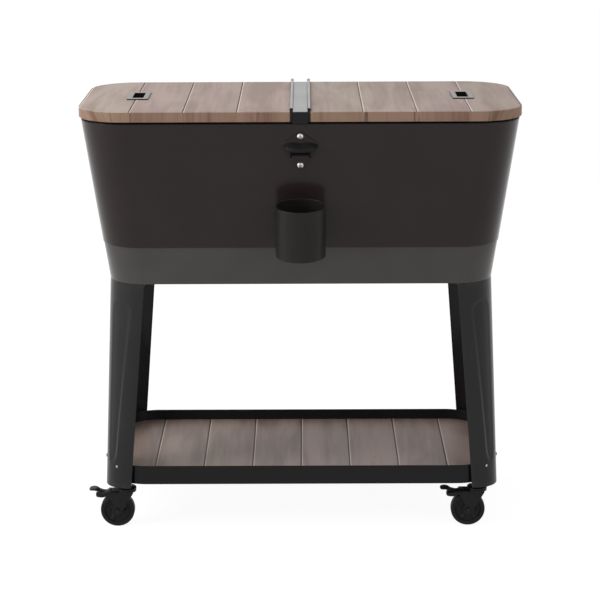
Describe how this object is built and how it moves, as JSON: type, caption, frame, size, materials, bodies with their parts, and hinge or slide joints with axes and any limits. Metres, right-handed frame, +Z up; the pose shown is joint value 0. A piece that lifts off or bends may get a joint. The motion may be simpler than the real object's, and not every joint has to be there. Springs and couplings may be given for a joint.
{
  "type": "rolling cooler cart",
  "caption": "Insulated beverage trough on a four-legged stand with casters, with two centre-hinged lids, a low shelf, a bottle opener and a cap catcher.",
  "frame": {"origin": "on the floor under the middle of the whole outline", "axes": "+X to the user's right when facing the front, +Y from the bottle opener towards the back, +Z up from the wheels to the lids"},
  "size_m": [0.94, 0.5324, 0.9395],
  "materials": {
    "lid_boards": "satin",
    "shelf_boards": "satin",
    "shell_paint": "satin",
    "band_paint": "satin",
    "frame_paint": "satin",
    "caster_black": "satin",
    "white_liner": "satin",
    "foam": "matte",
    "black_plastic": "satin",
    "seal_rubber": "matte",
    "wheel_rubber": "matte",
    "brushed_strip": "satin",
    "hinge_metal": "satin",
    "zinc": "satin",
    "bright_screws": "polished",
    "cast_iron": "satin"
  },
  "bodies": {
    "cart": {"outer_shell": "shell_paint", "lower_band": "band_paint", "base_pan": "frame_paint", "body_foam": "foam", "basin": "white_liner", "rim_frame": "black_plastic", "centre_bridge": "frame_paint", "bridge_strip": "brushed_strip", "bridge_end_plugs": "black_plastic", "bridge_hinge_leaves": "hinge_metal", "hinge_pins": "zinc", "hinge_end_caps": "black_plastic", "bottle_opener": "cast_iron", "opener_screws": "bright_screws", "catcher_screws": "zinc", "drain_spout": "black_plastic", "drain_gaskets": "seal_rubber", "drain_nut": "black_plastic", "leg_plates": "frame_paint", "leg_fasteners": "zinc", "shelf_tray": "frame_paint", "shelf_boards": "shelf_boards", "tray_fasteners": "frame_paint", "caster_stems": "zinc", "caster_nuts": "zinc", "leg_front_left": "frame_paint", "leg_front_right": "frame_paint", "leg_rear_left": "frame_paint", "leg_rear_right": "frame_paint"},
    "cap_catcher": {"cap_catcher": "frame_paint"},
    "drain_cap": {"drain_cap": "black_plastic"},
    "lid_left": {"lid_left_panel": "lid_boards", "lid_left_foam": "foam", "lid_left_liner": "white_liner", "lid_left_seal": "seal_rubber", "lid_left_hinge_leaf": "hinge_metal", "lid_left_pull_plate": "brushed_strip", "lid_left_pull_cup": "black_plastic"},
    "lid_right": {"lid_right_panel": "lid_boards", "lid_right_foam": "foam", "lid_right_liner": "white_liner", "lid_right_seal": "seal_rubber", "lid_right_hinge_leaf": "hinge_metal", "lid_right_pull_plate": "brushed_strip", "lid_right_pull_cup": "black_plastic"},
    "swivel_front_left": {"caster_fork_front_left": "caster_black", "caster_axle_front_left": "zinc"},
    "wheel_front_left": {"caster_wheel_front_left": "wheel_rubber"},
    "swivel_front_right": {"caster_fork_front_right": "caster_black", "caster_axle_front_right": "zinc"},
    "wheel_front_right": {"caster_wheel_front_right": "wheel_rubber"},
    "swivel_rear_left": {"caster_fork_rear_left": "caster_black", "caster_axle_rear_left": "zinc"},
    "wheel_rear_left": {"caster_wheel_rear_left": "wheel_rubber"},
    "swivel_rear_right": {"caster_fork_rear_right": "caster_black", "caster_axle_rear_right": "zinc"},
    "wheel_rear_right": {"caster_wheel_rear_right": "wheel_rubber"},
    "pedal_front_left": {"brake_pedal_front_left": "caster_black"},
    "pedal_front_right": {"brake_pedal_front_right": "caster_black"}
  },
  "joints": [
    {"name": "lid_left_hinge", "type": "hinge", "parent": "cart", "child": "lid_left", "pos_m": [-0.0185, 0.04624, 0.9356], "axis": [0, 1, 0], "range_deg": [0, 90]},
    {"name": "lid_right_hinge", "type": "hinge", "parent": "cart", "child": "lid_right", "pos_m": [0.0185, 0.04624, 0.9356], "axis": [0, -1, 0], "range_deg": [0, 90]},
    {"name": "catcher_lift", "type": "slide", "parent": "cart", "child": "cap_catcher", "axis": [0, -0.0933, 0.9956], "range_m": [0, 0.012]},
    {"name": "drain_cap_pull", "type": "slide", "parent": "cart", "child": "drain_cap", "axis": [0, 0.9956, -0.0933], "range_m": [0, 0.03]},
    {"name": "swivel_front_left_turn", "type": "hinge", "parent": "cart", "child": "swivel_front_left", "pos_m": [-0.387, -0.11526, 0.085], "axis": [0, 0, 1], "continuous": true},
    {"name": "wheel_front_left_roll", "type": "hinge", "parent": "swivel_front_left", "child": "wheel_front_left", "pos_m": [-0.407, -0.11526, 0.0375], "axis": [0, 1, 0], "continuous": true},
    {"name": "swivel_front_right_turn", "type": "hinge", "parent": "cart", "child": "swivel_front_right", "pos_m": [0.387, -0.11526, 0.085], "axis": [0, 0, 1], "continuous": true},
    {"name": "wheel_front_right_roll", "type": "hinge", "parent": "swivel_front_right", "child": "wheel_front_right", "pos_m": [0.367, -0.11526, 0.0375], "axis": [0, 1, 0], "continuous": true},
    {"name": "swivel_rear_left_turn", "type": "hinge", "parent": "cart", "child": "swivel_rear_left", "pos_m": [-0.387, 0.20774, 0.085], "axis": [0, 0, 1], "continuous": true},
    {"name": "wheel_rear_left_roll", "type": "hinge", "parent": "swivel_rear_left", "child": "wheel_rear_left", "pos_m": [-0.407, 0.20774, 0.0375], "axis": [0, 1, 0], "continuous": true},
    {"name": "swivel_rear_right_turn", "type": "hinge", "parent": "cart", "child": "swivel_rear_right", "pos_m": [0.387, 0.20774, 0.085], "axis": [0, 0, 1], "continuous": true},
    {"name": "wheel_rear_right_roll", "type": "hinge", "parent": "swivel_rear_right", "child": "wheel_rear_right", "pos_m": [0.367, 0.20774, 0.0375], "axis": [0, 1, 0], "continuous": true},
    {"name": "pedal_front_left_press", "type": "hinge", "parent": "swivel_front_left", "child": "pedal_front_left", "pos_m": [-0.422, -0.11526, 0.0787], "axis": [0, -1, 0], "range_deg": [0, 12]},
    {"name": "pedal_front_right_press", "type": "hinge", "parent": "swivel_front_right", "child": "pedal_front_right", "pos_m": [0.352, -0.11526, 0.0787], "axis": [0, -1, 0], "range_deg": [0, 12]}
  ]
}
